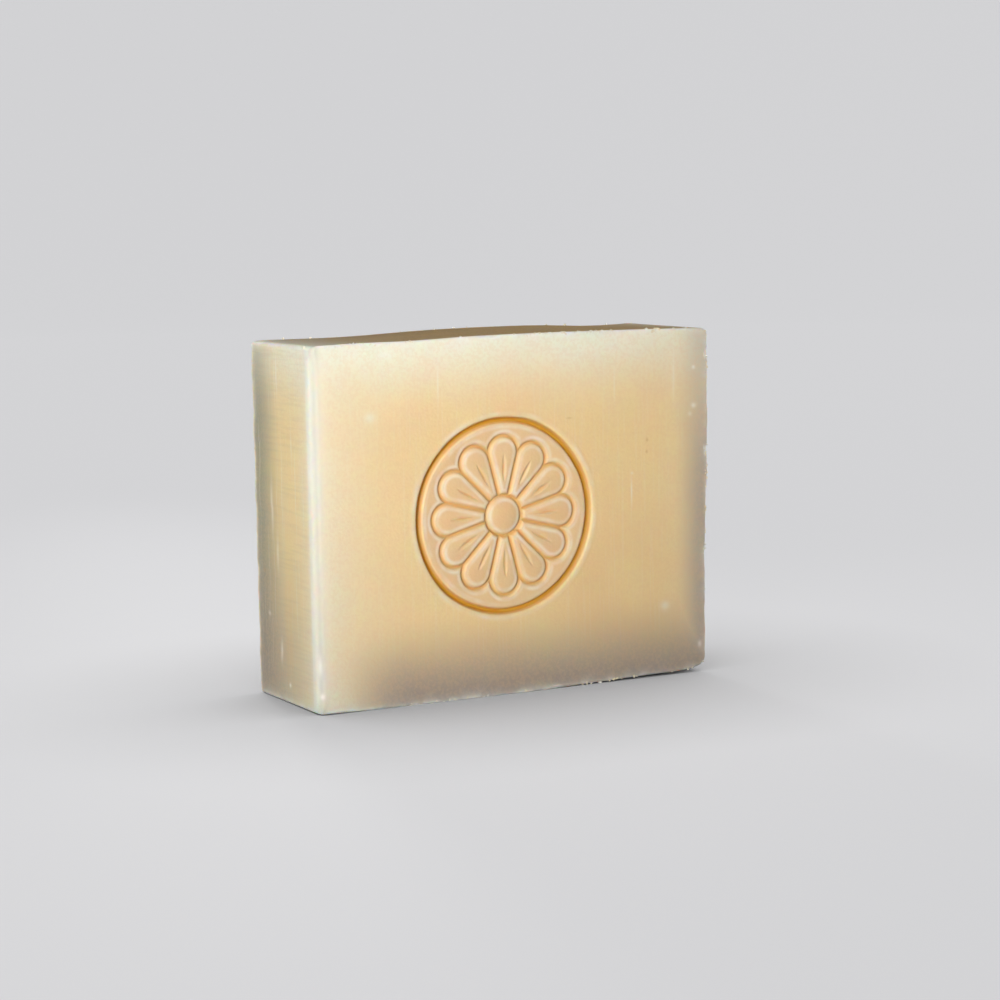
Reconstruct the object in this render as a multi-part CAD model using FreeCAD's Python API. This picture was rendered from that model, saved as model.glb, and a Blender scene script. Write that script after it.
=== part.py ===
import FreeCAD, Part

# A hand-cut bar of soap, standing on its long narrow side.
#
# It is one slice of a moulded loaf. The front and back are the cut faces. The left
# and right sides are the mould's walls, which lean out a little towards the top, the
# foot is the mould's floor with its soft corner on the right, and the top is the
# loaf's own, slightly crowned. A round flower stamp is pressed into the front face.
#
# Millimetres. X runs across the cut face, Y through the slice from front to back and
# Z up. The origin is in the middle of the foot, where the bar stands.

import math
import os

# The slice
bar_width = 78.6            # across the cut face at the top, wall to wall
side_height = 62.8          # height at the left and right walls
slice_thickness = 25.4      # front cut to back cut
wall_draft = 0.7            # how much each wall leans out from foot to top
crown_rise = 0.5            # how much the top stands up in the middle

# The soft corner that the mould's floor left on the right
heel_length = 8.0           # from the end of the flat foot to the right wall
heel_rise = 1.35            # height at which it reaches the wall
heel_corner_radius = 1.7

# Edges
top_corner_radius = 0.9     # where the crowned top meets the walls
foot_corner_radius = 0.6    # where the flat foot meets the left wall
rim_radius = 0.45           # all round both cut faces
bevel_leg = 1.2             # planed edge between the left wall and the front face
worn_corner_length = 4.0    # rubbed corner at the top, left and back, along the slice
worn_corner_drop = 0.6      # how far that corner is rubbed down
worn_corner_reach = 6.0     # how far the rubbed place runs along the top

# The round stamp
stamp_shift = -2.6          # its centre, from the middle of the face, towards the left
stamp_lift = 0.2            # and above mid height
panel_sink = 0.2            # the pressed ground inside the border
border_radius = 16.8        # middle of the border groove
border_mouth = 1.6          # groove width at the surface
border_floor = 0.45         # groove width at its bottom
border_depth = 1.1          # below the pressed ground
line_mouth = 1.0            # the flower's thin lines
line_floor = 0.25
line_depth = 0.5            # below the pressed ground
petal_count = 12
petal_tip_reach = 11.1      # centre of each petal's round tip, from the stamp's centre
hub_radius = 3.6            # middle of the ring round the flower's heart
hub_fall = 0.35             # the heart is domed: its rim lies this far below the ground
crease_inner = 5.8          # the short crease down the middle of each petal
crease_outer = 10.9
crease_depth = 0.35         # below the pressed ground, at the middle of the crease
crease_width = 0.8          # at the middle of the crease

# How far the cutting shapes stand clear of the surfaces that they cut
clear = 1.0
lap = 0.05                  # the same for the fine lines inside the stamp

half_top = bar_width / 2
half_foot = half_top - wall_draft
half_slice = slice_thickness / 2
wall_slope = wall_draft / side_height
face_middle = FreeCAD.Vector(stamp_shift, -half_slice, side_height / 2 + stamp_lift)
ground = panel_sink
UP = FreeCAD.Vector(0, 0, 1)
INWARD = FreeCAD.Vector(0, 1, 0)


def point(x, z):
    """A point of the front face."""
    return FreeCAD.Vector(x, -half_slice, z)


def wall_x(z):
    """Distance of the right wall from the middle at height z."""
    return half_foot + wall_slope * z


def slice_outline():
    """The front face's outline: flat foot, soft heel, two leaning walls and the crown."""
    heel_end = point(wall_x(heel_rise), heel_rise)
    heel_start = point(heel_end.x - heel_length, 0)
    heel_turn = 2 * math.atan2(heel_rise, heel_length)
    heel_sweep_radius = heel_length / math.sin(heel_turn)
    heel_middle = point(
        heel_start.x + heel_sweep_radius * math.sin(heel_turn / 2),
        heel_sweep_radius * (1 - math.cos(heel_turn / 2)),
    )
    foot_left = point(-half_foot, 0)
    top_right = point(half_top, side_height)
    top_left = point(-half_top, side_height)
    crown = point(0, side_height + crown_rise)
    return Part.Wire([
        Part.LineSegment(foot_left, heel_start).toShape(),
        Part.Arc(heel_start, heel_middle, heel_end).toShape(),
        Part.LineSegment(heel_end, top_right).toShape(),
        Part.Arc(top_right, crown, top_left).toShape(),
        Part.LineSegment(top_left, foot_left).toShape(),
    ])


def runs_through(edge):
    """True for an edge that runs from the front face to the back one."""
    return edge.BoundBox.YLength > slice_thickness / 2


def corner_edge(shape, corner):
    """The edge that runs through the slice nearest to a corner of the front outline."""
    middle = corner + INWARD * half_slice
    through = [edge for edge in shape.Edges if runs_through(edge)]
    return min(through, key=lambda edge: edge.CenterOfMass.distanceToPoint(middle))


def round_long_corners(block):
    """Rounds the corners that run through the slice: two at the top, two at the foot."""
    rounds = [
        (point(half_top, side_height), top_corner_radius),
        (point(-half_top, side_height), top_corner_radius),
        (point(-half_foot, 0), foot_corner_radius),
        (point(wall_x(heel_rise), heel_rise), heel_corner_radius),
    ]
    for corner, radius in rounds:
        block = block.makeFillet(radius, [corner_edge(block, corner)])
    return block


def round_rims(block):
    """Breaks the edge all round both cut faces."""
    rims = [edge for edge in block.Edges if not runs_through(edge)]
    return block.makeFillet(rim_radius, rims)


def left_edge_bevel():
    """The wedge planed off the edge between the left wall and the front face."""
    low, high = -clear, side_height + crown_rise + clear
    wall = -wall_x(low)
    corners = [
        FreeCAD.Vector(wall - clear, -half_slice + bevel_leg + clear, low),
        FreeCAD.Vector(wall - clear, -half_slice - clear, low),
        FreeCAD.Vector(wall + bevel_leg + clear, -half_slice - clear, low),
    ]
    face = Part.Face(Part.makePolygon(corners + corners[:1]))
    return face.extrude(FreeCAD.Vector(wall_x(low) - wall_x(high), 0, high - low))


def worn_corner():
    """The shallow wedge rubbed off the top's left corner at the back.

    It reaches past the wall and the back face by its own length, so its outline is
    three times the bite that it takes.
    """
    corner = FreeCAD.Vector(-half_top, half_slice, side_height - worn_corner_drop)
    up_the_wall = FreeCAD.Vector(0, -worn_corner_length, worn_corner_drop)
    up_the_back = FreeCAD.Vector(worn_corner_reach, 0, worn_corner_drop + crown_rise)
    outside = corner - up_the_wall - up_the_back
    ends = [outside, outside + up_the_wall * 3, outside + up_the_back * 3]
    face = Part.Face(Part.makePolygon(ends + ends[:1]))
    return face.extrude(UP * (worn_corner_drop + crown_rise) * 3)


def groove_section(mouth, floor, depth, over):
    """Half widths and depths of a groove's section, carried on over the ground."""
    slope = (mouth - floor) / 2 / depth
    open_half = mouth / 2 + slope * over
    return open_half, floor / 2, ground - over, ground + depth


def ring_groove(radius, mouth, floor, depth, over, centre=FreeCAD.Vector(0, 0, 0)):
    """The section of a round groove about a centre, ready to be swept round it."""
    open_half, floor_half, outside, bottom = groove_section(mouth, floor, depth, over)
    corners = [
        centre + FreeCAD.Vector(radius - open_half, outside, 0),
        centre + FreeCAD.Vector(radius + open_half, outside, 0),
        centre + FreeCAD.Vector(radius + floor_half, bottom, 0),
        centre + FreeCAD.Vector(radius - floor_half, bottom, 0),
    ]
    return Part.Face(Part.makePolygon(corners + corners[:1]))


def full_ring(radius, mouth, floor, depth, over):
    """A whole round groove about the stamp's centre."""
    face = ring_groove(radius, mouth, floor, depth, over)
    return face.revolve(FreeCAD.Vector(0, 0, 0), INWARD, 360)


def round_heart():
    """What lies over the flower's heart, which is left standing as a low dome."""
    dome_radius = (hub_radius ** 2 + hub_fall ** 2) / (2 * hub_fall)
    disc = Part.makeCylinder(hub_radius, lap + hub_fall, FreeCAD.Vector(0, ground - lap, 0), INWARD)
    dome = Part.makeSphere(dome_radius, FreeCAD.Vector(0, ground + lap + dome_radius, 0))
    return disc.cut(dome)


def straight_groove(start, end, mouth, floor, depth):
    """A groove along the stamp's X axis, from one radius to another."""
    open_half, floor_half, outside, bottom = groove_section(mouth, floor, depth, lap)
    corners = [
        FreeCAD.Vector(start, outside, -open_half),
        FreeCAD.Vector(start, outside, open_half),
        FreeCAD.Vector(start, bottom, floor_half),
        FreeCAD.Vector(start, bottom, -floor_half),
    ]
    face = Part.Face(Part.makePolygon(corners + corners[:1]))
    return face.extrude(FreeCAD.Vector(end - start, 0, 0))


def petal_tip():
    """The round end of one petal that points along the stamp's X axis."""
    half_turn = math.pi / petal_count
    tip_radius = petal_tip_reach * math.sin(half_turn)
    centre = FreeCAD.Vector(petal_tip_reach, 0, 0)
    face = ring_groove(tip_radius, line_mouth, line_floor, line_depth, lap, centre)
    start = -90 - math.degrees(half_turn)
    face.rotate(centre, INWARD, start)
    return face.revolve(centre, INWARD, 180 + 2 * math.degrees(half_turn))


def petal_divider():
    """The line between two petals, from the hub's ring to where two tips meet."""
    half_turn = math.pi / petal_count
    line = straight_groove(
        hub_radius, petal_tip_reach * math.cos(half_turn), line_mouth, line_floor, line_depth)
    line.rotate(FreeCAD.Vector(0, 0, 0), INWARD, math.degrees(half_turn))
    return line


def petal_crease():
    """The tapering crease down one petal: the bite of a wheel with a sharp rim."""
    half_length = (crease_outer - crease_inner) / 2
    wheel_radius = (half_length ** 2 + crease_depth ** 2) / (2 * crease_depth)
    half_width = crease_width / 2 * wheel_radius / crease_depth
    hub = FreeCAD.Vector((crease_inner + crease_outer) / 2, ground + crease_depth - wheel_radius, 0)
    rim = hub + FreeCAD.Vector(0, wheel_radius, 0)
    corners = [hub + UP * half_width, rim, hub - UP * half_width]
    face = Part.Face(Part.makePolygon(corners + corners[:1]))
    bite = Part.makeBox(
        crease_outer - crease_inner + clear, lap + 2 * crease_depth, crease_width + clear,
        FreeCAD.Vector(crease_inner - clear / 2, ground - lap, -(crease_width + clear) / 2))
    return face.revolve(hub, UP, 360).common(bite)


def round_the_flower(shape):
    """Copies of one shape, one for each petal."""
    copies = []
    for number in range(petal_count):
        copy = shape.copy()
        copy.rotate(FreeCAD.Vector(0, 0, 0), INWARD, number * 360 / petal_count)
        copies.append(copy)
    return copies


def stamp_cutters():
    """What the stamp pressed in, on the front face: its ground and border, then its lines."""
    panel = Part.makeCylinder(
        border_radius, clear + ground, FreeCAD.Vector(0, -clear, 0), INWARD)
    border = full_ring(border_radius, border_mouth, border_floor, border_depth, ground + lap)
    hub = full_ring(hub_radius, line_mouth, line_floor, line_depth, lap)
    lines = [hub] + round_the_flower(petal_tip()) + round_the_flower(petal_divider())
    creases = round_the_flower(petal_crease())
    heart = round_heart()
    for cutter in [panel, border, heart] + lines + creases:
        cutter.translate(face_middle)
    return [panel, border], lines, creases + [heart]


def soap_bar():
    """The whole bar, as one solid."""
    block = Part.Face(slice_outline()).extrude(INWARD * slice_thickness)
    block = round_long_corners(block)
    block = round_rims(block)
    block = block.cut([left_edge_bevel(), worn_corner()])
    for cutters in stamp_cutters():
        block = block.cut(cutters)
    return block


bar = soap_bar()
bar = bar.Solids[0] if len(bar.Solids) == 1 else bar
os.makedirs("parts", exist_ok=True)
bar.exportStep("parts/soap_bar.step")
print("soap_bar", bar.ShapeType, "valid", bar.isValid(), "faces", len(bar.Faces),
      "volume", round(bar.Volume, 1), "box", bar.optimalBoundingBox(True, False))
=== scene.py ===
import logging
import math
from dataclasses import asdict, dataclass
from enum import Enum
from functools import reduce
from typing import ClassVar

import bmesh
import bpy
import numpy as np
from mathutils import Matrix, Vector


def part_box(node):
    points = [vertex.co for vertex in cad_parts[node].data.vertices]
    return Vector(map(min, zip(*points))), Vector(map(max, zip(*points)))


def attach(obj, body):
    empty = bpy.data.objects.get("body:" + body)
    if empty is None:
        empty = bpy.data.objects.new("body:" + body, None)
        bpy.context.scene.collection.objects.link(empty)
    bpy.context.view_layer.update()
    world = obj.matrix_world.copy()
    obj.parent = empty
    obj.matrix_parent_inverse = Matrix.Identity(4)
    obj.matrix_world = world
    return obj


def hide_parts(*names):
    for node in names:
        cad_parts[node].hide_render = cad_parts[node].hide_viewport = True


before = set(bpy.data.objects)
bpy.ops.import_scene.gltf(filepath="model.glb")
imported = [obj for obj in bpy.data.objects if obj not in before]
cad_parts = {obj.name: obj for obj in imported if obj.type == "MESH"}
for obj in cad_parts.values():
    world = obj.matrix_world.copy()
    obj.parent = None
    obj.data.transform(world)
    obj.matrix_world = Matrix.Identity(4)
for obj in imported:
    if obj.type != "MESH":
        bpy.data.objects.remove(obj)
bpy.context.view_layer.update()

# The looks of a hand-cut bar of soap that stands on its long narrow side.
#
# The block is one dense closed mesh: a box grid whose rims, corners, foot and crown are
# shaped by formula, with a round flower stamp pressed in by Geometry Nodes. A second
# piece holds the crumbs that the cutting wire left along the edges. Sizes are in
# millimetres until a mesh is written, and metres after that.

NODE = "soap_bar"
MM = 0.001

Colour = tuple[float, float, float, float]
Points = np.ndarray

log = logging.getLogger("soap")


def screen_colour(red: int, green: int, blue: int) -> Colour:
    """Turns a colour as a screen shows it into the linear one that a shader reads.

    Args:
        red: 0 to 255.
        green: 0 to 255.
        blue: 0 to 255.

    Returns:
        Linear red, green, blue and full alpha.
    """
    def linear(level: int) -> float:
        """One channel's linear value."""
        share = level / 255
        return share / 12.92 if share <= 0.04045 else ((share + 0.055) / 1.055) ** 2.4

    return linear(red), linear(green), linear(blue), 1.0


def ease(values: Points) -> Points:
    """Runs smoothly from 0 to 1 as its argument does, and stays there beyond."""
    held = np.clip(values, 0.0, 1.0)
    return held * held * (3.0 - 2.0 * held)


def hump(values: Points, middle: float, spread: float) -> Points:
    """A smooth bump of height 1 at the middle, gone by about two spreads away."""
    return np.exp(-((values - middle) / spread) ** 2)


@dataclass(frozen=True)
class Field:
    """A number that varies over a surface: one socket of a node tree.

    Arithmetic on fields adds Math nodes, so that a formula over the surface reads as one.
    """

    tree: bpy.types.NodeTree
    socket: bpy.types.NodeSocket

    def math(self, operation: str, *terms: "Field | float") -> "Field":
        """Adds a Math node.

        Args:
            operation: the node's operation.
            terms: its operands in order, fields or plain numbers.

        Returns:
            The node's result.
        """
        node = self.tree.nodes.new("ShaderNodeMath")
        node.operation = operation
        return self.feed(node, *terms)

    def feed(self, node: bpy.types.Node, *terms: "Field | float") -> "Field":
        """Fills a node's inputs.

        Args:
            node: the node.
            terms: what goes in, in order, fields or plain numbers.

        Returns:
            The node's result.
        """
        for slot, term in zip(node.inputs, terms):
            if isinstance(term, Field):
                self.tree.links.new(term.socket, slot)
            else:
                slot.default_value = term
        return Field(self.tree, node.outputs[0])

    def __add__(self, other: "Field | float") -> "Field":
        """This plus another."""
        return self.math("ADD", self, other)

    def __sub__(self, other: "Field | float") -> "Field":
        """This less another."""
        return self.math("SUBTRACT", self, other)

    def __rsub__(self, other: "Field | float") -> "Field":
        """Another less this."""
        return self.math("SUBTRACT", other, self)

    def __mul__(self, other: "Field | float") -> "Field":
        """This times another."""
        return self.math("MULTIPLY", self, other)

    def __truediv__(self, other: "Field | float") -> "Field":
        """This over another."""
        return self.math("DIVIDE", self, other)

    def __rtruediv__(self, other: "Field | float") -> "Field":
        """Another over this."""
        return self.math("DIVIDE", other, self)

    def fold(self, step: "Field | float") -> "Field":
        """Runs to and fro between 0 and a step."""
        return self.math("PINGPONG", self, step)

    def at_least(self, other: "Field | float") -> "Field":
        """The larger of the two."""
        return self.math("MAXIMUM", self, other)

    def at_most(self, other: "Field | float") -> "Field":
        """The smaller of the two."""
        return self.math("MINIMUM", self, other)

    def below(self, other: "Field | float") -> "Field":
        """1 where this is the smaller of the two, else 0."""
        return self.math("LESS_THAN", self, other)

    def size(self) -> "Field":
        """This without its sign."""
        return self.math("ABSOLUTE", self)

    def root(self) -> "Field":
        """The square root."""
        return self.math("SQRT", self)

    def sine(self) -> "Field":
        """The sine of an angle in radians."""
        return self.math("SINE", self)

    def cosine(self) -> "Field":
        """The cosine of an angle in radians."""
        return self.math("COSINE", self)

    def hump(self, middle: "Field | float", spread: "Field | float") -> "Field":
        """A smooth bump of height 1 where this equals the middle."""
        off = (self - middle) / spread
        return self.math("EXPONENT", off * off * -1.0)

    def ramp(self, start: "Field | float", end: "Field | float",
             low: "Field | float" = 0.0, high: "Field | float" = 1.0) -> "Field":
        """Runs smoothly from one value to another.

        Args:
            start: where the run begins, which may lie above its end.
            end: where it ends.
            low: the value at the start and before it.
            high: the value at the end and beyond it.

        Returns:
            The eased value.
        """
        node = self.tree.nodes.new("ShaderNodeMapRange")
        node.interpolation_type = "SMOOTHSTEP"
        return self.feed(node, self, start, end, low, high)


@dataclass(frozen=True)
class Run:
    """A smooth run from one value to another, held at both ends."""

    start: float
    end: float
    low: float = 0.0
    high: float = 1.0

    def over(self, field: Field) -> Field:
        """The run's value for each value of a field."""
        return field.ramp(self.start, self.end, self.low, self.high)


@dataclass(frozen=True)
class Swell:
    """A smooth bump along one direction, in millimetres."""

    height: float
    middle: float
    spread: float

    def over(self, values: Points) -> Points:
        """How high it stands at each place."""
        return self.height * hump(values, self.middle, self.spread)


@dataclass(frozen=True)
class Wave:
    """A ripple along one direction: its share, turns for each millimetre and phase."""

    share: float
    rate: float
    phase: float = 0.0

    def over(self, values: Points) -> Points:
        """Its height at each place."""
        return self.share * np.sin(values * self.rate + self.phase)


class TreeBuilder:
    """A node tree in the making, with shorthands for the nodes that formulas need."""

    seed_steps = (17.3, 31.7, 11.9)

    def __init__(self, tree: bpy.types.NodeTree) -> None:
        """Starts on an empty tree."""
        self.tree = tree

    def node(self, kind: str, **settings: object) -> bpy.types.Node:
        """Adds a node.

        Args:
            kind: the node's type.
            settings: its properties, by name.

        Returns:
            The node.
        """
        made = self.tree.nodes.new(kind)
        for name, value in settings.items():
            setattr(made, name, value)
        return made

    def link(self, source: bpy.types.NodeSocket, target: bpy.types.NodeSocket) -> None:
        """Joins two sockets."""
        self.tree.links.new(source, target)

    def place(self) -> bpy.types.NodeSocket:
        """The surface point's place, in metres."""
        raise NotImplementedError

    def place_mm(self) -> tuple[Field, Field, Field]:
        """Where the surface point is.

        Returns:
            Its X, Y and Z, in millimetres.
        """
        scaled = self.node("ShaderNodeVectorMath", operation="SCALE")
        scaled.inputs["Scale"].default_value = 1 / MM
        self.link(self.place(), scaled.inputs[0])
        parts = self.node("ShaderNodeSeparateXYZ")
        self.link(scaled.outputs[0], parts.inputs[0])
        return tuple(Field(self.tree, socket) for socket in parts.outputs)

    def noise(self, grain: tuple[float, float, float], seed: float, detail: float = 1.0) -> Field:
        """Seeded noise over the piece.

        Args:
            grain: the size of its features along X, Y and Z, in millimetres.
            seed: which noise; the same seed always gives the same one.
            detail: how many finer layers it carries.

        Returns:
            A field from about 0 to 1, around 0.5.
        """
        stretched = self.node("ShaderNodeVectorMath", operation="MULTIPLY_ADD")
        stretched.inputs[1].default_value = [1 / (size * MM) for size in grain]
        stretched.inputs[2].default_value = [seed * step for step in self.seed_steps]
        self.link(self.place(), stretched.inputs[0])
        noise = self.node("ShaderNodeTexNoise", noise_dimensions="3D")
        noise.inputs["Scale"].default_value = 1.0
        noise.inputs["Detail"].default_value = detail
        self.link(stretched.outputs[0], noise.inputs["Vector"])
        return Field(self.tree, noise.outputs[0])


@dataclass(frozen=True)
class Texture:
    """Seeded noise: its grain along X, Y and Z in millimetres, and what shows of it."""

    grain: tuple[float, float, float]
    seed: float
    shown: Run = Run(0.0, 1.0)

    def raw(self, tree: TreeBuilder) -> Field:
        """The noise as it is, around 0.5."""
        return tree.noise(self.grain, self.seed)

    def field(self, tree: TreeBuilder) -> Field:
        """What shows of the noise."""
        return self.shown.over(self.raw(tree))


class GeometryTree(TreeBuilder):
    """A Geometry Nodes tree with named inputs for its sizes."""

    def __init__(self, name: str, numbers: dict[str, float]) -> None:
        """Makes the tree, its interface and its two end nodes.

        Args:
            name: the tree's name.
            numbers: each size's name and the value that it starts from.
        """
        super().__init__(bpy.data.node_groups.new(name, "GeometryNodeTree"))
        face = self.tree.interface
        face.new_socket("Geometry", in_out="INPUT", socket_type="NodeSocketGeometry")
        face.new_socket("Material", in_out="INPUT", socket_type="NodeSocketMaterial")
        for label, value in numbers.items():
            socket = face.new_socket(label, in_out="INPUT", socket_type="NodeSocketFloat")
            socket.default_value = value
        face.new_socket("Geometry", in_out="OUTPUT", socket_type="NodeSocketGeometry")
        self.source = self.node("NodeGroupInput")
        self.sizes = {label: Field(self.tree, self.source.outputs[label]) for label in numbers}

    def place(self) -> bpy.types.NodeSocket:
        """The vertex's place, in metres."""
        return self.node("GeometryNodeInputPosition").outputs[0]

    def read(self, name: str) -> Field:
        """Reads a number stored on the mesh.

        Args:
            name: the attribute's name.

        Returns:
            The number at each vertex.
        """
        node = self.node("GeometryNodeInputNamedAttribute")
        node.inputs["Name"].default_value = name
        return Field(self.tree, node.outputs[0])

    def store(self, geometry: bpy.types.NodeSocket, name: str,
              value: Field) -> bpy.types.NodeSocket:
        """Stores a number on the mesh.

        Args:
            geometry: what carries it.
            name: the attribute's name.
            value: the number at each vertex.

        Returns:
            The geometry that has it.
        """
        node = self.node("GeometryNodeStoreNamedAttribute")
        node.inputs["Name"].default_value = name
        self.link(geometry, node.inputs["Geometry"])
        self.link(value.socket, node.inputs["Value"])
        return node.outputs[0]

    def move(self, geometry: bpy.types.NodeSocket, chosen: Field,
             along: tuple[float, float, float] | bpy.types.NodeSocket,
             by: Field) -> bpy.types.NodeSocket:
        """Moves the chosen vertices.

        Args:
            geometry: what is moved.
            chosen: 1 for the vertices that move.
            along: the direction, fixed or a field.
            by: how far, in millimetres.

        Returns:
            The moved geometry.
        """
        offset = self.node("ShaderNodeVectorMath", operation="SCALE")
        if isinstance(along, tuple):
            offset.inputs[0].default_value = along
        else:
            self.link(along, offset.inputs[0])
        self.link((by * MM).socket, offset.inputs["Scale"])
        node = self.node("GeometryNodeSetPosition")
        self.link(geometry, node.inputs["Geometry"])
        self.link(chosen.socket, node.inputs["Selection"])
        self.link(offset.outputs[0], node.inputs["Offset"])
        return node.outputs[0]

    def close(self, geometry: bpy.types.NodeSocket) -> None:
        """Ends the tree: real geometry with its material set.

        Args:
            geometry: what the tree has made.
        """
        real = self.node("GeometryNodeRealizeInstances")
        dressed = self.node("GeometryNodeSetMaterial")
        end = self.node("NodeGroupOutput")
        self.link(geometry, real.inputs["Geometry"])
        self.link(real.outputs[0], dressed.inputs["Geometry"])
        self.link(self.source.outputs["Material"], dressed.inputs["Material"])
        self.link(dressed.outputs[0], end.inputs[0])

    def run_on(self, piece: bpy.types.Object, material: bpy.types.Material,
               numbers: dict[str, float]) -> None:
        """Runs the tree on a piece and keeps the result as its plain mesh.

        Args:
            piece: the object whose mesh goes in, and is replaced by what comes out.
            material: the finish that the tree sets.
            numbers: the sizes, by their inputs' names.
        """
        modifier = piece.modifiers.new(self.tree.name, "NODES")
        modifier.node_group = self.tree
        known = {item.name: item.identifier for item in self.tree.interface.items_tree
                 if item.in_out == "INPUT"}
        modifier[known["Material"]] = material
        for label, value in numbers.items():
            modifier[known[label]] = float(value)
        finished = piece.evaluated_get(bpy.context.evaluated_depsgraph_get())
        mesh = bpy.data.meshes.new_from_object(finished)
        piece.modifiers.remove(modifier)
        spent = piece.data
        piece.data = mesh
        mesh.name = piece.name
        bpy.data.meshes.remove(spent)


class ShaderTree(TreeBuilder):
    """A material's node tree, around one Principled shader."""

    def __init__(self, name: str) -> None:
        """Makes the material with its shader and output.

        Args:
            name: the material's name.
        """
        self.material = bpy.data.materials.new(name)
        self.material.use_nodes = True
        super().__init__(self.material.node_tree)
        self.tree.nodes.clear()
        self.shader = self.node("ShaderNodeBsdfPrincipled")
        end = self.node("ShaderNodeOutputMaterial")
        self.link(self.shader.outputs[0], end.inputs["Surface"])

    def place(self) -> bpy.types.NodeSocket:
        """The surface point's place on the piece, in metres."""
        return self.node("ShaderNodeTexCoord").outputs["Object"]

    def read(self, name: str) -> Field:
        """A number stored on the mesh."""
        return Field(self.tree, self.node("ShaderNodeAttribute", attribute_name=name).outputs["Fac"])

    def blend(self, factor: Field, under: "Colour | bpy.types.NodeSocket",
              over: "Colour | bpy.types.NodeSocket") -> bpy.types.NodeSocket:
        """Lays one colour over another.

        Args:
            factor: how much of the upper one shows, held between 0 and 1.
            under: the lower colour.
            over: the upper colour.

        Returns:
            The mixed colour.
        """
        node = self.node("ShaderNodeMix", data_type="RGBA", clamp_factor=True)
        self.link(factor.socket, node.inputs[0])
        for slot, colour in ((node.inputs[6], under), (node.inputs[7], over)):
            if isinstance(colour, tuple):
                slot.default_value = colour
            else:
                self.link(colour, slot)
        return node.outputs[2]

    def settle(self, **values: object) -> None:
        """Sets the shader's own sockets, by their names with underscores for spaces."""
        for name, value in values.items():
            self.shader.inputs[name.replace("_", " ")].default_value = value


class Mark(Enum):
    """What the mesh carries for its material, as one number for each vertex."""

    PALE = "pale"          # paler towards the block's edges: partly dry soap, partly painted light
    RIM = "rim"            # the very edge, where the wire left a whitish line
    WALL = "wall"          # 1 on the mould's walls, the foot and the top, 0 on the cut faces
    TOP = "top"            # 1 on the side that was open to the air in the mould
    PLANED = "planed"      # the planed edge between the left wall and the front face
    FRESH = "fresh"        # where a chip has come off
    GROOVE = "groove"      # how deep the stamp's lines go, from 0 to 1
    GROUND = "ground"      # inside the stamp's border
    SHOULDER = "shoulder"  # beside the stamp's lines, where the soap is pushed up; painted paler there as a highlight


@dataclass(frozen=True)
class Bite:
    """A chip out of an edge: what a ball takes that sinks in from outside, in mm."""

    at: tuple[float, float, float]
    outwards: tuple[float, float, float]
    reach: float
    depth: float
    raggedness: ClassVar[float] = 0.06
    rate_x: ClassVar[float] = 5.1
    rate_z: ClassVar[float] = 3.7
    soft_edge: ClassVar[float] = 0.12

    def take(self, points: Points) -> Points:
        """Pushes the points that lie in the bite back to its surface.

        Args:
            points: the block's vertices, which are changed.

        Returns:
            How much each one was bitten, from 0 to 1.
        """
        away = np.array(self.outwards) / np.linalg.norm(self.outwards)
        ball = np.array(self.at) + away * (self.reach - self.depth)
        arm = points - ball
        distance = np.linalg.norm(arm, axis=1)
        turn = points[:, 0] * self.rate_x + points[:, 2] * self.rate_z
        ragged = self.reach * (1 + self.raggedness * np.sin(turn))
        inside = distance < ragged
        points[inside] = ball + arm[inside] * (ragged / distance)[inside, None]
        return ease((ragged * (1 + self.soft_edge) - distance) / (ragged * self.soft_edge))


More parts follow.
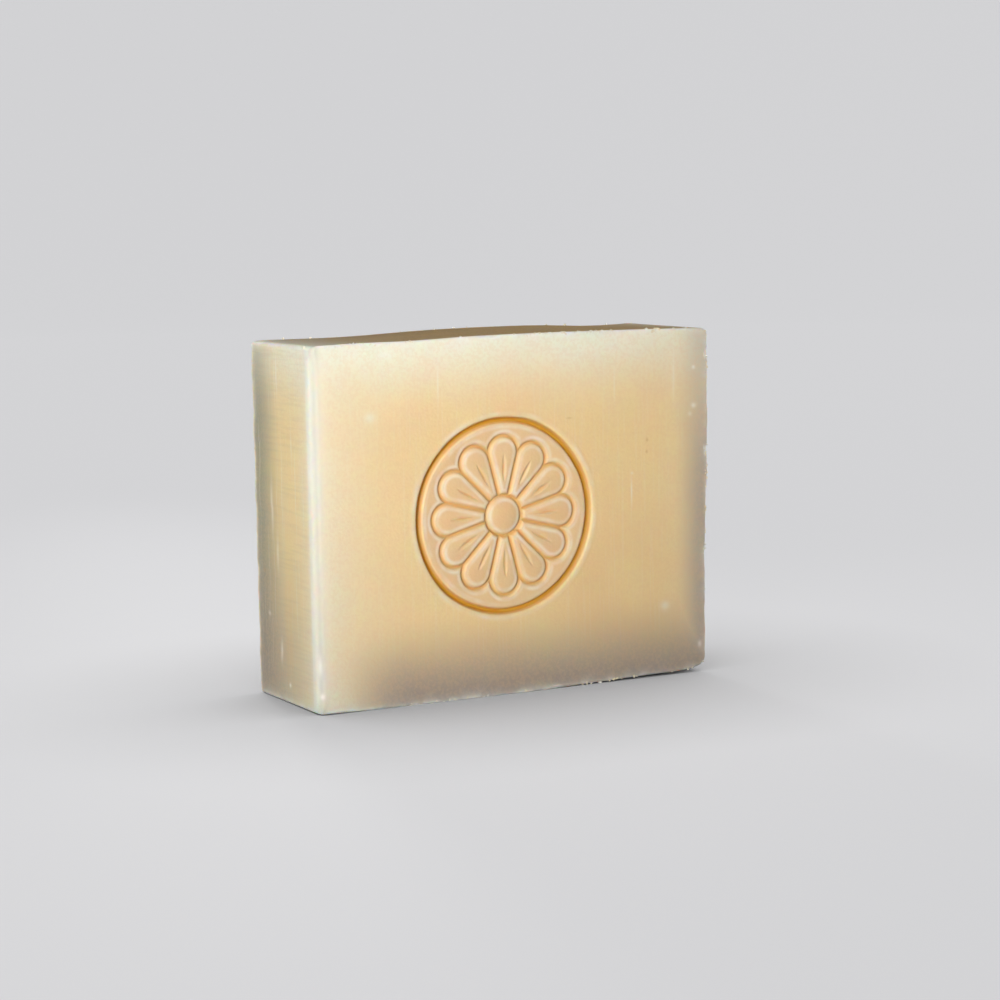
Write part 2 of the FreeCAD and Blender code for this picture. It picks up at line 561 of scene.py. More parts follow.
@dataclass
class Stamp:
    """The round flower stamp, in millimetres, as it is pressed into the front face."""

    across: float = -2.6
    height: float = 31.6
    petals: float = 12.0
    ground_sink: float = 0.2
    border_radius: float = 16.8
    border_mouth: float = 1.5
    border_floor: float = 0.25
    border_depth: float = 1.1
    line_mouth: float = 1.05
    line_floor: float = 0.15
    line_depth: float = 0.5
    tip_reach: float = 11.1
    heart_radius: float = 3.6
    heart_fall: float = 0.35
    crease_start: float = 5.8
    crease_end: float = 10.9
    crease_depth: float = 0.35
    crease_half_width: float = 0.5
    lip_height: float = 0.06
    lip_offset: float = 1.25
    lip_spread: float = 0.5
    ground_edge: float = 0.3
    pillow_depth: float = 0.14
    pillow_spread: float = 1.3
    line_shoulder: float = 0.85
    line_shoulder_spread: float = 0.3
    border_shoulder: float = 1.2
    border_shoulder_spread: float = 0.35
    waver: float = 0.35
    waver_upright_share: float = 0.7
    lip_rest: float = 0.1
    lip_gain: float = 1.6
    depth_rest: float = 0.85
    depth_gain: float = 0.3
    margin: ClassVar[float] = 1.9
    hand: ClassVar[Texture] = Texture((9.0, 9.0, 9.0), 11.0)
    pressure: ClassVar[Texture] = Texture((7.0, 7.0, 7.0), 23.0, Run(0.42, 0.6, 0.15, 0.8))

    @property
    def reach(self) -> float:
        """Radius of everything that the stamp changes."""
        return self.border_radius + self.margin

    def labelled(self) -> dict[str, float]:
        """The sizes, by the names that the tree's inputs have."""
        return {name.replace("_", " ").title(): value for name, value in asdict(self).items()}

    def press(self, piece: bpy.types.Object, material: bpy.types.Material, front: float) -> None:
        """Presses the stamp into a piece.

        Args:
            piece: the block.
            material: the finish that it keeps.
            front: Y of the front face, in millimetres.
        """
        sizes = {**self.labelled(), "Front": front}
        tree = GeometryTree("press_stamp", sizes)
        self.lay_out(tree)
        tree.run_on(piece, material, sizes)

    def lay_out(self, tree: GeometryTree) -> None:
        """Writes the stamp's form as nodes.

        Args:
            tree: the tree, with one input for each of the stamp's sizes.
        """
        size = tree.sizes
        place_x, place_y, place_z = tree.place_mm()
        hand = (self.hand.raw(tree) - 0.5) * size["Waver"]
        x = place_x - size["Across"] + hand
        z = place_z - size["Height"] + hand * size["Waver Upright Share"]
        radius = (x * x + z * z).root().at_least(0.01)
        half_turn = math.pi / size["Petals"]
        turn = z.math("ARCTAN2", z, x).fold(half_turn)
        along, aside = radius * turn.cosine(), radius * turn.sine()

        tip_radius = size["Tip Reach"] * half_turn.sine()
        tangent = size["Tip Reach"] * half_turn.cosine()
        side_run = radius * (half_turn - turn).cosine()
        to_side = (radius * (half_turn - turn).sine()).at_least(size["Heart Radius"] - radius)
        from_tip = along - size["Tip Reach"]
        to_tip = ((from_tip * from_tip + aside * aside).root() - tip_radius).size()
        on_side = side_run.below(tangent)
        to_petal = to_side * on_side + to_tip * (1.0 - on_side)
        to_heart = (radius - size["Heart Radius"]).size()
        to_line = to_petal.at_most(to_heart)
        to_border = (radius - size["Border Radius"]).size()

        line = to_line.ramp(size["Line Mouth"] * 0.5, size["Line Floor"] * 0.5) * size["Line Depth"]
        border = to_border.ramp(size["Border Mouth"] * 0.5, size["Border Floor"] * 0.5)
        border = border * size["Border Depth"]
        crease_middle = (size["Crease Start"] + size["Crease End"]) * 0.5
        crease_run = (along - crease_middle) / ((size["Crease End"] - size["Crease Start"]) * 0.5)
        taper = (1.0 - crease_run * crease_run).at_least(0.0)
        crease_width = size["Crease Half Width"] * taper + 0.001
        crease = aside.ramp(crease_width, 0.0) * size["Crease Depth"] * taper
        carved = line.at_least(border).at_least(crease)

        inside = radius.ramp(size["Border Radius"] + size["Ground Edge"],
                             size["Border Radius"] - size["Ground Edge"])
        in_heart = radius.below(size["Heart Radius"])
        dome = radius / size["Heart Radius"]
        sunk = size["Ground Sink"] * inside + dome * dome * size["Heart Fall"] * in_heart
        pillow = to_line.hump(0.0, size["Pillow Spread"]) * size["Pillow Depth"] * inside
        uneven = self.pressure.raw(tree)
        lip_run = radius.hump(size["Border Radius"] + size["Lip Offset"], size["Lip Spread"])
        lip = lip_run * size["Lip Height"] * (uneven * size["Lip Gain"] + size["Lip Rest"])
        pressed = uneven * size["Depth Gain"] + size["Depth Rest"]
        depth = (sunk + carved + pillow - lip) * pressed

        chosen = place_y.below(size["Front"] + 1.0) * radius.below(self.reach)
        # The bands beside the stamp's lines and border, which the finish paints paler as a highlight.
        by_line = to_line.hump(size["Line Shoulder"], size["Line Shoulder Spread"])
        by_border = to_border.hump(size["Border Shoulder"], size["Border Shoulder Spread"])
        beside = by_line.at_least(by_border * self.pressure.shown.over(uneven))
        geometry = tree.source.outputs["Geometry"]
        geometry = tree.store(geometry, Mark.GROOVE.value, carved / size["Border Depth"] * chosen)
        geometry = tree.store(geometry, Mark.GROUND.value, inside * chosen)
        geometry = tree.store(geometry, Mark.SHOULDER.value, beside * chosen)
        geometry = tree.move(geometry, chosen, (0.0, 1.0, 0.0), depth)
        tree.close(geometry)


@dataclass
class Block:
    """The cut block, in millimetres, before the stamp: a grid on a box, then shaped.

    Its grid is finest at the rims: the first line lies one first_stop in, and each step
    after that grows until it is as wide as widest_stop.
    """

    half_width: float
    half_depth: float
    side_height: float
    left_draft: float = 0.3
    right_draft: float = 0.7
    right_lean_top: float = 44.0
    right_lean_run: float = 24.0
    wall_wave: float = 0.22
    wave_reach: float = 4.0
    wave_rest: float = 0.5
    waves: tuple[Wave, ...] = (Wave(0.25, 0.62, 0.8), Wave(0.15, 1.13, 2.1), Wave(0.1, 2.3))
    crown_rise: float = 0.5
    back_sag: float = 0.17
    back_swells: tuple[Swell, ...] = (Swell(0.5, -22.0, 14.0), Swell(0.4, 29.0, 8.0))
    front_sag: float = 0.1
    front_swells: tuple[Swell, ...] = (Swell(0.2, -20.0, 8.0),)
    heel_length: float = 8.0
    heel_rise: float = 0.95
    scuff_right: float = 0.45
    scuff_right_from: float = 4.0
    scuff_right_run: float = 26.0
    scuff_left: float = 0.12
    scuff_left_from: float = -28.0
    scuff_left_run: float = 10.0
    lift_height: float = 14.0
    face_dish: float = 0.2
    planed_cut: float = 0.3
    planed_width: float = 2.6
    planed_line: float = 1.1
    planed_end: float = 2.9
    planed_radius: float = 0.7
    planed_radius_gain: float = 0.6
    planed_radius_run: float = 4.0
    front_radii: tuple[float, float] = (0.35, 0.3)
    back_radii: tuple[float, float, float, float] = (0.35, 0.5, 0.4, 0.45)
    foot_radius_at: tuple[float, ...] = (-40.0, -20.0, 4.0, 9.0, 30.0)
    foot_radii: tuple[float, ...] = (0.5, 0.2, 0.16, 0.55, 0.5)
    corner_radii: tuple[tuple[int, int, float], ...] = (
        (-1, -1, 0.6), (1, -1, 1.7), (-1, 1, 0.9), (1, 1, 1.2),
    )
    rub_drop: float = 0.6
    rub_along_y: tuple[float, float, float] = (0.0, -4.0, 0.6)
    rub_along_x: tuple[float, float, float] = (6.0, 0.0, 1.1)
    rub_reach: float = 9.0
    rub_share: float = 0.9
    wall_run: float = 1.2
    edge_reach: float = 0.8
    rim_reach: float = 0.6
    # Paler soap towards the edges: partly from drying, partly painted light, wider on the left than
    # on the right.
    dried_and_lit_left: float = 7.0
    dried_and_lit_right: float = 3.6
    dried_and_lit_right_share: float = 0.75
    dried_and_lit_top: float = 8.0
    dried_and_lit_top_loss: float = 0.6
    dried_and_lit_top_loss_from: float = -4.0
    dried_and_lit_top_loss_run: float = 14.0
    dried_and_lit_foot: float = 3.5
    dried_and_lit_foot_share: float = 0.45
    dried_and_lit_planed: float = 5.5
    dried_and_lit_planed_share: float = 0.7
    first_stop: float = 0.08
    stop_growth: float = 1.3
    widest_stop: float = 0.8
    stamp_cuts: int = 4

    def stops(self, low: float, high: float) -> list[float]:
        """Grid lines along one side: close together at both ends, even in between.

        Args:
            low: where the side begins.
            high: where it ends.

        Returns:
            The lines' places, from low to high.
        """
        near, step = [0.0], self.first_stop
        while step < self.widest_stop:
            near.append(near[-1] + step)
            step *= self.stop_growth
        inner_low, inner_high = low + near[-1], high - near[-1]
        count = max(1, round((inner_high - inner_low) / self.widest_stop))
        inner = [inner_low + (inner_high - inner_low) * step / count for step in range(1, count)]
        return [low + run for run in near] + inner + [high - run for run in reversed(near)]

    def grid(self) -> tuple[list[tuple[float, float, float]], list[tuple[int, ...]]]:
        """The box's six faces as one closed grid.

        Returns:
            The vertices and the four-sided faces, which point outwards.
        """
        lines = (
            self.stops(-self.half_width, self.half_width),
            self.stops(-self.half_depth, self.half_depth),
            self.stops(0.0, self.side_height),
        )
        last = [len(line) - 1 for line in lines]
        known: dict[tuple[int, int, int], int] = {}
        faces: list[tuple[int, ...]] = []

        def vertex(where: tuple[int, int, int]) -> int:
            """The index of one grid point, made when it is first asked for."""
            return known.setdefault(where, len(known))

        for fixed in range(3):
            first, second = (fixed + 1) % 3, (fixed + 2) % 3
            for end in (0, last[fixed]):
                for i in range(last[first]):
                    for j in range(last[second]):
                        ring = []
                        for di, dj in ((0, 0), (1, 0), (1, 1), (0, 1)):
                            where = [0, 0, 0]
                            where[fixed], where[first], where[second] = end, i + di, j + dj
                            ring.append(vertex(tuple(where)))
                        faces.append(tuple(ring if end else reversed(ring)))
        points = [tuple(lines[axis][where[axis]] for axis in range(3)) for where in known]
        return points, faces

    def blank(self, name: str, stamp: Stamp) -> bpy.types.Mesh:
        """The grid as a mesh in millimetres, made finer where the stamp goes.

        Args:
            name: the mesh's name.
            stamp: the stamp that will be pressed in.

        Returns:
            The mesh, still a plain box.
        """
        mesh = bpy.data.meshes.new(name)
        points, faces = self.grid()
        mesh.from_pydata(points, [], faces)
        work = bmesh.new()
        work.from_mesh(mesh)
        centre = Vector((stamp.across, -self.half_depth, stamp.height))
        reach = stamp.reach + self.widest_stop
        under = [face for face in work.faces if abs(face.normal.y + 1) < 0.01
                 and (face.calc_center_median() - centre).length < reach]
        edges = list({edge for face in under for edge in face.edges})
        bmesh.ops.subdivide_edges(work, edges=edges, cuts=self.stamp_cuts, use_grid_fill=True)
        work.to_mesh(mesh)
        work.free()
        return mesh

    def rim_radii(self, points: Points, gaps: Points) -> Points:
        """How round the cut faces' rims are at each vertex.

        Args:
            points: the vertices on the plain box.
            gaps: each one's distance to the left, right, foot and top sides.

        Returns:
            One radius for each vertex.
        """
        x, y, z = points.T
        front = y < 0
        to_end = np.minimum(z, self.side_height - z)
        planed = ease(to_end / self.planed_radius_run)
        planed = self.planed_radius + self.planed_radius_gain * planed
        left = np.where(front, planed, self.back_radii[0])
        right = np.where(front, self.front_radii[0], self.back_radii[1])
        foot = np.interp(x, self.foot_radius_at, self.foot_radii)
        foot = np.where(front, foot, self.back_radii[2])
        top = np.where(front, self.front_radii[1], self.back_radii[3])
        weights = 1 / (gaps + 0.3) ** 3
        radii = np.stack((left, right, foot, top), axis=1)
        return (weights * radii).sum(axis=1) / weights.sum(axis=1)

    def round_rims(self, points: Points) -> None:
        """Rounds the rims of both cut faces, still on the plain box.

        Args:
            points: the vertices, which are changed.
        """
        x, y, z = points.T
        gaps = np.stack((x + self.half_width, self.half_width - x, z, self.side_height - z), axis=1)
        radii = self.rim_radii(points, gaps)
        inset = gaps.min(axis=1)
        sunk = self.half_depth - np.abs(y)
        lean, tip = np.maximum(radii - inset, 0), np.maximum(radii - sunk, 0)
        length = np.hypot(lean, tip)
        on_rim = (lean > 0) & (tip > 0)
        scale = np.where(on_rim, radii / np.where(on_rim, length, 1), 1)
        new_inset = np.where(on_rim, radii - lean * scale, inset)
        new_sunk = np.where(on_rim, radii - tip * scale, sunk)
        points[:, 1] = np.sign(y) * (self.half_depth - new_sunk)
        self.shrink_outline(points, inset, new_inset)

    def shrink_outline(self, points: Points, inset: Points, new_inset: Points) -> None:
        """Moves each vertex to a new distance from the box's outline, then rounds the corners.

        Args:
            points: the vertices, which are changed.
            inset: each one's distance from the outline as it is.
            new_inset: the distance that it gets.
        """
        x, z = points[:, 0].copy(), points[:, 2].copy()
        change = new_inset - inset
        for sign, wall in ((-1, -self.half_width), (1, self.half_width)):
            near = np.abs(x - wall) <= inset + 1e-6
            points[near, 0] -= sign * change[near]
        for sign, wall in ((-1, 0.0), (1, self.side_height)):
            near = np.abs(z - wall) <= inset + 1e-6
            points[near, 2] -= sign * change[near]
        for side, end, radius in self.corner_radii:
            corner_x = side * (self.half_width - radius)
            corner_z = self.side_height - radius if end > 0 else radius
            arm_x, arm_z = (x - corner_x) * side, (z - corner_z) * end
            held = (arm_x > 0) & (arm_z > 0)
            square = np.maximum(arm_x, arm_z)[held]
            shrunk = (radius - new_inset[held]) / np.maximum(square, 1e-9)
            length = np.hypot(arm_x, arm_z)[held]
            scale = shrunk * square / length
            points[held, 0] = corner_x + side * arm_x[held] * scale
            points[held, 2] = corner_z + end * arm_z[held] * scale

    def bend(self, points: Points) -> None:
        """Gives the box its large forms: leaning walls, crown, soft heel and wavy edges.

        Args:
            points: the vertices, which are changed.
        """
        x, y, z = points.T.copy()
        up = z / self.side_height
        across = x / self.half_width
        back = ease(y / self.half_depth * 0.5 + 0.5)
        front = 1 - back
        crown = self.crown_rise * (1 - across ** 2)
        back_slump = sum((swell.over(x) for swell in self.back_swells), self.back_sag)
        front_slump = sum((swell.over(x) for swell in self.front_swells), self.front_sag)
        on_heel = (x - self.half_width + self.heel_length) / self.heel_length
        heel = self.heel_rise * np.clip(on_heel, 0, 2) ** 2
        scuff_right = self.scuff_right * ease((x - self.scuff_right_from) / self.scuff_right_run)
        scuff_left = self.scuff_left * ease((self.scuff_left_from - x) / self.scuff_left_run)
        lifted = heel + front * (scuff_right + scuff_left)
        lifted = lifted * np.clip(1 - z / self.lift_height, 0, 1) ** 2
        points[:, 2] += ease(up) * (crown - back * back_slump - front * front_slump) + lifted

        middle = up * 2 - 1
        dish = self.face_dish * (1 - across ** 4) * (1 - middle ** 4)
        points[:, 1] -= dish * np.clip(y / self.half_depth, -1, 1) ** 3

        right_lean = self.right_draft * ease((self.right_lean_top - z) / self.right_lean_run)
        lean = np.where(x < 0, self.left_draft * (1 - up), right_lean)
        ripple = sum((wave.over(z) for wave in self.waves), self.wave_rest)
        by_right = ease(1 - (self.half_width - x) / self.wave_reach)
        by_left = ease(1 - (self.half_width + x) / self.wave_reach)
        right_wave = self.wall_wave * ripple * front * by_right
        left_wave = self.wall_wave * ripple * back * by_left
        off_front = np.clip(1 - (y + self.half_depth) / self.planed_width, 0, 1)
        planed = self.planed_cut * off_front ** 2 * by_left
        points[:, 0] = x - across * lean - right_wave + left_wave + planed

    def rub_corner(self, points: Points) -> None:
        """Rubs down the corner at the top, left and back.

        Args:
            points: the vertices, which are changed.
        """
        top = self.side_height - self.rub_drop
        corner = np.array((-self.half_width, self.half_depth, top))
        outwards = np.cross(self.rub_along_x, -np.array(self.rub_along_y))
        outwards /= np.linalg.norm(outwards)
        outwards *= np.sign(outwards[2])
        height = (points - corner) @ outwards
        near = np.linalg.norm(points - corner, axis=1) < self.rub_reach
        over = near & (height > 0)
        points[over] -= outwards * height[over, None] * self.rub_share

    def marks(self, points: Points) -> dict[Mark, Points]:
        """What the material needs to know of each vertex, read on the plain box.

        Args:
            points: the vertices before any shaping.

        Returns:
            One array for each mark that the block itself decides.
        """
        x, y, z = points.T
        sunk = self.half_depth - np.abs(y)
        left, right = x + self.half_width, self.half_width - x
        foot, top = z, self.side_height - z
        behind = y + self.half_depth
        wall = ease(sunk / self.wall_run)
        face = 1 - wall
        on_left, on_right, on_foot, on_top = (
            np.exp(-gap / self.edge_reach) for gap in (left, right, foot, top))
        by_ends = (face + on_top + on_foot).clip(0, 1)
        by_sides = (face + on_left + on_right).clip(0, 1)
        behind_front = ease((y - self.dried_and_lit_top_loss_from) / self.dried_and_lit_top_loss_run)
        # Paleness towards each edge: partly dry soap, partly painted light.
        dried_and_lit = (
            np.exp(-left / self.dried_and_lit_left) * by_ends,
            self.dried_and_lit_right_share * np.exp(-right / self.dried_and_lit_right) * by_ends,
            np.exp(-(top / self.dried_and_lit_top) ** 2) * by_sides
            * (1 - self.dried_and_lit_top_loss * wall * behind_front),
            self.dried_and_lit_foot_share * np.exp(-foot / self.dried_and_lit_foot) * by_sides,
            self.dried_and_lit_planed_share * np.exp(-(behind / self.dried_and_lit_planed) ** 2) * wall * on_left,
        )
        clear = np.prod([1 - share for share in dried_and_lit], axis=0)
        order = np.sort(np.stack((left, right, foot, top, sunk), axis=1), axis=1)
        planed = np.exp(-(left / self.planed_line) ** 2)
        return {
            Mark.PALE: 1 - clear,
            Mark.RIM: np.exp(-order[:, 1] / self.rim_reach),
            Mark.WALL: wall,
            Mark.TOP: wall * (top < self.first_stop / 2),
            Mark.PLANED: planed * ease((self.planed_end - behind) / self.planed_line),
        }


@dataclass(frozen=True)
class Blemish:
    """A small soft-edged fault: a pale grain, a pit or an upright scratch, in mm."""

    at: tuple[float, float, float]
    reach: tuple[float, float, float]
    pale: float
    front: ClassVar[float] = -12.7
    left_wall: ClassVar[float] = -39.1
    through: ClassVar[float] = 1.5

    @classmethod
    def on_front(cls, x: float, z: float, half_width: float, half_length: float,
                 pale: float) -> "Blemish":
        """One on the stamped face; where pale is below 0, it is dark."""
        return cls((x, cls.front, z), (half_width, cls.through, half_length), pale)

    @classmethod
    def on_wall(cls, y: float, z: float, half_width: float, half_length: float,
                pale: float) -> "Blemish":
        """One on the left wall; where pale is below 0, it is dark."""
        return cls((cls.left_wall, y, z), (cls.through, half_width, half_length), pale)

    def spread(self, tree: TreeBuilder) -> Field:
        """How much of the fault is at each point of the surface.

        Args:
            tree: the material's tree.

        Returns:
            A field that is 1 in the middle and falls to 0 at about twice the reach.
        """
        arm = tree.node("ShaderNodeVectorMath", operation="MULTIPLY_ADD")
        tree.link(tree.place(), arm.inputs[0])
        arm.inputs[1].default_value = [1 / (reach * MM) for reach in self.reach]
        arm.inputs[2].default_value = [-at / reach for at, reach in zip(self.at, self.reach)]
        square = tree.node("ShaderNodeVectorMath", operation="DOT_PRODUCT")
        for slot in square.inputs[:2]:
            tree.link(arm.outputs[0], slot)
        distance = Field(tree.tree, square.outputs["Value"])
        return distance.math("POWER", 1 / math.e, distance)


@dataclass(frozen=True)
class SoapFinish:
    """Cured, hand-cut soap: honey inside, paler towards its edges, partly from drying and partly
    painted light.

    The textures' grains and the runs over X, Y and Z are in millimetres. A run over a
    texture or a mark goes from 0 to 1, and its last two numbers are how much shows.
    """

    honey: Colour = screen_colour(238, 209, 154)
    peach: Colour = screen_colour(236, 204, 150)
    butter: Colour = screen_colour(238, 212, 156)
    cream: Colour = screen_colour(240, 236, 214)
    wall_honey: Colour = screen_colour(239, 215, 158)
    wall_cool: Colour = screen_colour(213, 213, 188)
    # Painted shade: the left wall darker towards its back.
    wall_rear: Colour = screen_colour(143, 146, 130)
    # The top: a drier, tanner skin, darkened further as painted shade.
    crust: Colour = screen_colour(146, 106, 64)
    # The planed bevel: cool whitish, greyer at its front where the key lamp strikes it head-on, which
    # is painted shade.
    planed: Colour = screen_colour(199, 196, 181)
    planed_wall: Colour = screen_colour(234, 233, 218)
    # Painted shade: a greyish tone laid on the front face's foot and right side, the left wall's foot
    # and the walls' fine streaks.
    thin: Colour = screen_colour(158, 145, 134)
    ground: Colour = screen_colour(227, 190, 146)
    # Painted highlight: the paler band beside the stamp's lines and border.
    shoulder: Colour = screen_colour(243, 228, 208)
    # Painted shade: the stamp's grooves turn a deeper yellow-brown the deeper they go, for the dimmer
    # light inside them.
    line: Colour = screen_colour(222, 174, 106)
    ochre: Colour = screen_colour(208, 154, 50)
    dust: Colour = screen_colour(246, 243, 232)
    pit: Colour = screen_colour(196, 150, 96)
    cloud: Texture = Texture((13.0, 13.0, 13.0), 1.0, Run(0.35, 0.65))
    drift: Texture = Texture((38.0, 38.0, 38.0), 2.0, Run(0.3, 0.7))
    haze: Texture = Texture((6.0, 4.0, 30.0), 4.0, Run(0.35, 0.7, 0.0, 0.35))
    drag: Texture = Texture((0.5, 0.5, 16.0), 12.0, Run(0.5, 0.72, 0.0, 0.09))
    wisp: Texture = Texture((3.0, 0.35, 22.0), 13.0, Run(0.6, 0.72, 0.0, 0.4))
    # Painted shade: darker fine horizontal streaks on the walls, for the shading of the mould's flat
    # ridges.
    ridge: Texture = Texture((9.0, 9.0, 0.55), 17.0, Run(0.42, 0.72, 0.0, 0.09))
    speckle: Texture = Texture((0.5, 0.5, 0.5), 14.0, Run(0.4, 0.65, 0.0, 0.16))
    patch: Texture = Texture((2.6, 2.6, 2.6), 6.0, Run(0.35, 0.65, 0.3, 0.8))
    grain: Texture = Texture((0.45, 0.45, 0.45), 8.0)
    ripple: Texture = Texture((5.0, 5.0, 0.5), 10.0)
    rear: Run = Run(0.0, 11.0, 0.0, 0.95)
    rear_top: Run = Run(60.0, 62.5, 1.0, 0.5)
    # Painted shade on the front face: towards its foot, least at the left, and along its right side,
    # most lower down.
    foot_shade_up: Run = Run(16.0, -1.5)
    foot_shade_across: Run = Run(-38.0, -22.0, 0.05, 1.0)
    side_shade_across: Run = Run(31.5, 39.5)
    side_shade_up: Run = Run(56.0, 30.0, 0.45, 0.88)
    # Painted shade on the left wall: darker towards its foot and its back.
    low_shade_up: Run = Run(40.0, -1.0, 0.0, 0.7)
    low_shade_back: Run = Run(-13.0, 8.0, 0.1, 1.0)
    crusty: Run = Run(0.46, 0.6, 0.0, 0.4)
    crusty_across: Run = Run(-35.6, -38.6)
    crusty_back: Run = Run(-9.0, -12.0)
    dusty: Run = Run(0.4, 0.62, 0.45, 0.95)
    # The rim line is fainter where the right side's painted shade lies.
    dusty_in_side_shade: float = 0.45
    planed_back: Run = Run(-12.4, -11.4)
    line_depth: Run = Run(0.08, 0.5)
    ochre_depth: Run = Run(0.5, 0.95)
    wall_share: float = 0.9
    crust_share: float = 0.8
    dried_and_lit_least: float = 0.75
    dried_and_lit_clouding: float = 0.5
    dried_and_lit_wall_loss: float = 0.1
    ground_share: float = 0.6
    planed_share: float = 0.93
    fresh_share: float = 0.7
    gloss: float = 0.4
    roughness: float = 0.5
    pale_roughness: float = 0.12
    wall_roughness: float = 0.06
    grain_height: float = 0.6
    ripple_height: float = 2.2
    relief_share: float = 0.4
    relief_depth: float = 0.12 * MM
    glow_share: float = 0.55
    glow_radius: tuple[float, float, float] = (1.0, 0.55, 0.25)
    glow_depth: float = 3.0 * MM
    ior: float = 1.45
    blemishes: tuple[Blemish, ...] = (
        *(Blemish.on_front(*row) for row in (
            (-28.4, 50.2, 1.1, 0.9, 0.45), (-25.3, 60.8, 1.6, 0.8, 0.4),
            (36.2, 55.8, 0.35, 0.35, 0.8), (36.2, 48.9, 0.5, 0.45, 0.7),
            (35.4, 47.4, 0.4, 0.4, 0.4), (29.9, 12.9, 0.9, 0.8, 0.5),
            (26.4, 43.2, 0.25, 0.35, -0.5), (26.3, 41.1, 0.25, 0.3, -0.4),
            (10.5, 48.0, 0.5, 0.15, -0.4), (23.1, 34.1, 0.16, 2.1, 0.6),
            (23.2, 37.4, 0.25, 0.25, 0.5), (-15.4, 55.2, 0.2, 3.1, 0.3),
            (32.0, 54.1, 0.25, 3.7, 0.3), (19.7, 53.1, 0.2, 2.3, 0.25), (-38.2, 3.2, 0.4, 0.5, 0.9),
            (-38.5, 8.5, 0.3, 1.6, 0.7), (37.2, 5.2, 0.4, 0.6, 0.6),
        )),
        *(Blemish.on_wall(*row) for row in (
            (5.2, 34.0, 0.45, 4.2, 0.45), (3.2, 26.0, 0.4, 2.6, 0.4), (1.8, 57.5, 0.35, 3.4, 0.4),
            (2.6, 9.0, 0.45, 1.8, 0.55), (-0.6, 3.4, 0.4, 0.4, 0.8), (7.5, 15.0, 0.5, 0.4, 0.4),
            (9.4, 22.5, 0.6, 0.5, -0.3), (-3.8, 45.5, 0.3, 2.2, 0.25),
        )),
    )

    def material(self) -> bpy.types.Material:
        """Builds the finish.

        Returns:
            The material, which reads the mesh's marks and its place on the piece.
        """
        tree = ShaderTree("soap")
        marks = {mark: tree.read(mark.value) for mark in Mark}
        tree.link(self.colour(tree, marks), tree.shader.inputs["Base Color"])
        tree.link(self.sheen(marks), tree.shader.inputs["Roughness"])
        gloss = marks[Mark.TOP].ramp(0.0, 1.0, self.gloss, 0.0)
        tree.link(gloss.socket, tree.shader.inputs["Specular IOR Level"])
        tree.link(self.relief(tree, marks), tree.shader.inputs["Normal"])
        tree.settle(
            Subsurface_Weight=self.glow_share, Subsurface_Radius=self.glow_radius,
            Subsurface_Scale=self.glow_depth, IOR=self.ior,
        )
        return tree.material

    def faults(self, tree: ShaderTree) -> tuple[Field, Field]:
        """Adds up the blemishes of the front face and the left wall.

        Args:
            tree: the material's tree.

        Returns:
            How pale and how dark each point is.
        """
        def strongest(sign: int) -> Field:
            """The strongest fault of one kind at each point: 1 for pale, -1 for dark."""
            return reduce(Field.at_least, (
                blemish.spread(tree) * (sign * blemish.pale)
                for blemish in self.blemishes if sign * blemish.pale > 0))

        return strongest(1), strongest(-1)

    def colour(self, tree: ShaderTree, marks: dict[Mark, Field]) -> bpy.types.NodeSocket:
        """The soap's colour over the whole bar.

        Args:
            tree: the material's tree.
            marks: the mesh's marks.

        Returns:
            The colour for the shader.
        """
        x, y, z = tree.place_mm()
        walls, left = marks[Mark.WALL], x.below(0.0)
        face, upright = 1.0 - walls, walls - marks[Mark.TOP]
        cloud, speckle, patch = (
            texture.raw(tree) for texture in (self.cloud, self.speckle, self.patch))
        # Painted shade: the left wall darker towards its back, half as much at its very top.
        rear = self.rear.over(y) * self.rear_top.over(z) * left
        # Paler towards the edges: partly dry soap, partly painted light.
        dried_and_lit = marks[Mark.PALE] * (cloud * self.dried_and_lit_clouding + self.dried_and_lit_least)
        # Painted shade on the front face: towards its foot and along its right side.
        foot = self.foot_shade_up.over(z) * self.foot_shade_across.over(x)
        side = self.side_shade_across.over(x) * self.side_shade_up.over(z)
        # Painted shade on the left wall: darker towards its foot and its back.
        low = self.low_shade_up.over(z) * self.low_shade_back.over(y) * left
        crusty = self.crusty.over(speckle) * self.crusty_across.over(x) * self.crusty_back.over(y)
        # The whitish rim line, fainter in the right side's painted shade.
        dusty = self.dusty.over(patch) * (1.0 - side * self.dusty_in_side_shade)
        # The planed bevel: greyer at its front, as painted shade against the key lamp's strong light.
        planed = tree.blend(self.planed_back.over(y), self.planed, self.planed_wall)
        pale, dark = self.faults(tree)

        wall = tree.blend(self.haze.field(tree), self.wall_honey, self.wall_cool)
        wall = tree.blend(rear, wall, self.wall_rear)
        # The top: a drier, tanner skin, darkened further as painted shade.
        wall = tree.blend(marks[Mark.TOP] * self.crust_share, wall, self.crust)
        body = tree.blend(self.cloud.shown.over(cloud), self.peach, self.butter)
        for share, over in (
            (self.drift.field(tree), self.honey),
            (walls * self.wall_share, wall),
            (dried_and_lit * (1.0 - walls * self.dried_and_lit_wall_loss), self.cream),
            (self.drag.field(tree) * face, self.cream),
            (self.wisp.field(tree) * upright, self.cream),
            (self.ridge.field(tree) * upright, self.thin),
            (foot.at_least(side) * face, self.thin),
            (low * walls, self.thin),
            (crusty, self.dust),
            (self.speckle.shown.over(speckle), self.ground),
            (marks[Mark.GROUND] * self.ground_share, self.ground),
            # Painted highlight beside the stamp's lines.
            (marks[Mark.SHOULDER] * self.patch.shown.over(patch), self.shoulder),
            # Painted shade: the stamp's grooves turn a deeper yellow-brown the deeper they go.
            (self.line_depth.over(marks[Mark.GROOVE]), self.line),
            (self.ochre_depth.over(marks[Mark.GROOVE]), self.ochre),
            (marks[Mark.RIM] * dusty, self.dust),
            (marks[Mark.PLANED] * self.planed_share, planed),
            (pale, self.dust),
            (dark, self.pit),
            (marks[Mark.FRESH] * self.fresh_share, self.dust),
        ):
            body = tree.blend(share, body, over)
        return body

